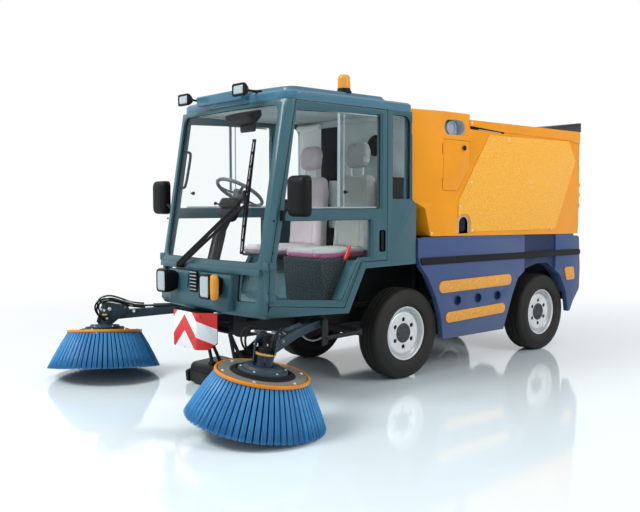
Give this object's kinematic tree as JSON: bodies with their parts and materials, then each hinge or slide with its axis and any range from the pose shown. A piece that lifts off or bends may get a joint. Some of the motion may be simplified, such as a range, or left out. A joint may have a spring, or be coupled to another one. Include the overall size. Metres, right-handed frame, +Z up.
{
  "type": "compact road sweeper",
  "caption": "Compact road sweeper with glazed cab, two swinging disc brushes, front suction nozzle and tipping hopper.",
  "frame": {"origin": "on the floor under the middle of the machine's outline, brushes and tail lamps included", "axes": "+Y rearwards (the cab faces -Y), +X to the machine's left, +Z up"},
  "size_m": [2.711, 4.3601, 2.1673],
  "materials": {
    "cab_paint": "gloss teal paint",
    "hopper_paint": "gloss yellow-orange paint",
    "hopper_panel": "textured yellow-orange paint",
    "blue_moulding": "satin moulded shell",
    "chassis_paint": "satin grey paint",
    "arm_paint": "satin dark grey paint",
    "engine_grey": "cast and painted",
    "glazing": "clear safety glass",
    "black_plastic": "fine grain",
    "seat_cloth": "woven cloth",
    "lamp_housing": "moulded housing",
    "board_white": "reflective sheet, red stripes",
    "black_rubber": "matt",
    "amber_marker": "reflector",
    "tyre_rubber": "matt",
    "rim_silver": "silver paint",
    "brush_bristle": "blue filament"
  },
  "bodies": {
    "chassis": {"chassis_frame": "chassis_paint", "arm_mounts": "chassis_paint", "tipping_frame": "chassis_paint", "suction_duct": "black_rubber", "engine_block": "engine_grey", "axles": "chassis_paint", "cab_floor": "cab_paint", "cab_front": "cab_paint", "cab_rear": "cab_paint", "cab_roof": "cab_paint", "cab_glass": "glazing", "steering_column": "black_plastic", "seats": "seat_cloth", "wiper": "black_plastic", "lamps": "lamp_housing", "chevron_board": "board_white", "suction_nozzle": "black_rubber", "body_shell": "blue_moulding", "belt_moulding": "black_rubber", "side_markers": "amber_marker"},
    "hopper": {"hopper_shell": "hopper_paint", "hopper_side_panels": "hopper_panel", "hopper_hood": "blue_moulding", "tail_lamps": "hopper_paint"},
    "hopper_door": {"hopper_door": "hopper_paint"},
    "service_hatch": {"service_hatch": "hopper_paint"},
    "door_left": {"door_left": "cab_paint", "door_left_glass": "glazing", "mirror_left": "black_plastic"},
    "door_right": {"door_right": "cab_paint", "door_right_glass": "glazing", "mirror_right": "black_plastic"},
    "steering_wheel": {"steering_wheel": "black_plastic"},
    "knuckle_left": {"knuckle_left": "chassis_paint"},
    "knuckle_right": {"knuckle_right": "chassis_paint"},
    "arm_bracket_left": {"arm_bracket_left": "chassis_paint"},
    "arm_bracket_right": {"arm_bracket_right": "chassis_paint"},
    "sweep_arm_left": {"sweep_arm_left": "arm_paint"},
    "sweep_arm_right": {"sweep_arm_right": "arm_paint"},
    "brush_left": {"brush_left": "brush_bristle"},
    "brush_right": {"brush_right": "brush_bristle"},
    "wheel_front_left": {"tyre_front_left": "tyre_rubber", "rim_front_left": "rim_silver"},
    "wheel_front_right": {"tyre_front_right": "tyre_rubber", "rim_front_right": "rim_silver"},
    "wheel_rear_left": {"tyre_rear_left": "tyre_rubber", "rim_rear_left": "rim_silver"},
    "wheel_rear_right": {"tyre_rear_right": "tyre_rubber", "rim_rear_right": "rim_silver"}
  },
  "joints": [
    {"name": "steer_left", "type": "hinge", "parent": "chassis", "child": "knuckle_left", "pos_m": [0.372, -0.1321, 0.334], "axis": [0, 0, 1], "range_deg": [-30, 30]},
    {"name": "steer_right", "type": "hinge", "parent": "chassis", "child": "knuckle_right", "pos_m": [-0.372, -0.1321, 0.334], "axis": [0, 0, 1], "range_deg": [-30.5, 30.5]},
    {"name": "steering_wheel_turn", "type": "hinge", "parent": "chassis", "child": "steering_wheel", "pos_m": [-0.26, -1.0121, 1.37], "axis": [0, 0.5299, 0.848], "range_deg": [-365, 365]},
    {"name": "hopper_tip", "type": "hinge", "parent": "chassis", "child": "hopper", "pos_m": [0, 2.0829, 1.045], "axis": [-1, 0, 0], "range_deg": [0, 50]},
    {"name": "hopper_door_swing", "type": "hinge", "parent": "hopper", "child": "hopper_door", "pos_m": [0, 2.0929, 1.898], "axis": [1, 0, 0], "range_deg": [0, 90]},
    {"name": "service_hatch_swing", "type": "hinge", "parent": "hopper", "child": "service_hatch", "pos_m": [0.653, 0.1999, 1.58], "axis": [0, 0, -1], "range_deg": [0, 110]},
    {"name": "door_left_swing", "type": "hinge", "parent": "chassis", "child": "door_left", "pos_m": [0.652, -1.4361, 0.8], "axis": [0, 0, -1], "range_deg": [0, 75]},
    {"name": "door_right_swing", "type": "hinge", "parent": "chassis", "child": "door_right", "pos_m": [-0.652, -1.4361, 0.8], "axis": [0, 0, 1], "range_deg": [0, 75]},
    {"name": "arm_swing_left", "type": "hinge", "parent": "chassis", "child": "arm_bracket_left", "pos_m": [0.46462, -0.8587, 0.48], "axis": [0, 0, 1], "range_deg": [-12, 10]},
    {"name": "arm_lift_left", "type": "hinge", "parent": "arm_bracket_left", "child": "sweep_arm_left", "pos_m": [0.5, -0.9191, 0.48], "axis": [-0.8629, -0.5054, 0], "range_deg": [0, 8]},
    {"name": "brush_spin_left", "type": "hinge", "parent": "sweep_arm_left", "child": "brush_left", "pos_m": [0.985, -1.7471, 0.339], "axis": [0.1282, 0.0933, 0.9873], "continuous": true},
    {"name": "arm_swing_right", "type": "hinge", "parent": "chassis", "child": "arm_bracket_right", "pos_m": [-0.46462, -0.8587, 0.48], "axis": [0, 0, -1], "range_deg": [-12, 10]},
    {"name": "arm_lift_right", "type": "hinge", "parent": "arm_bracket_right", "child": "sweep_arm_right", "pos_m": [-0.5, -0.9191, 0.48], "axis": [-0.8629, 0.5054, 0], "range_deg": [0, 8]},
    {"name": "brush_spin_right", "type": "hinge", "parent": "sweep_arm_right", "child": "brush_right", "pos_m": [-0.985, -1.7471, 0.339], "axis": [-0.1282, 0.0933, 0.9873], "continuous": true},
    {"name": "wheel_front_left_spin", "type": "hinge", "parent": "knuckle_left", "child": "wheel_front_left", "pos_m": [0.515, -0.1321, 0.334], "axis": [1, 0, 0], "continuous": true},
    {"name": "wheel_front_right_spin", "type": "hinge", "parent": "knuckle_right", "child": "wheel_front_right", "pos_m": [-0.515, -0.1321, 0.334], "axis": [1, 0, 0], "continuous": true},
    {"name": "wheel_rear_left_spin", "type": "hinge", "parent": "chassis", "child": "wheel_rear_left", "pos_m": [0.515, 1.6179, 0.334], "axis": [1, 0, 0], "continuous": true},
    {"name": "wheel_rear_right_spin", "type": "hinge", "parent": "chassis", "child": "wheel_rear_right", "pos_m": [-0.515, 1.6179, 0.334], "axis": [1, 0, 0], "continuous": true}
  ],
  "couplings": [
    {"joint": "steer_right", "follows": "steer_left", "ratio": 1},
    {"joint": "steering_wheel_turn", "follows": "steer_left", "ratio": 12}
  ]
}
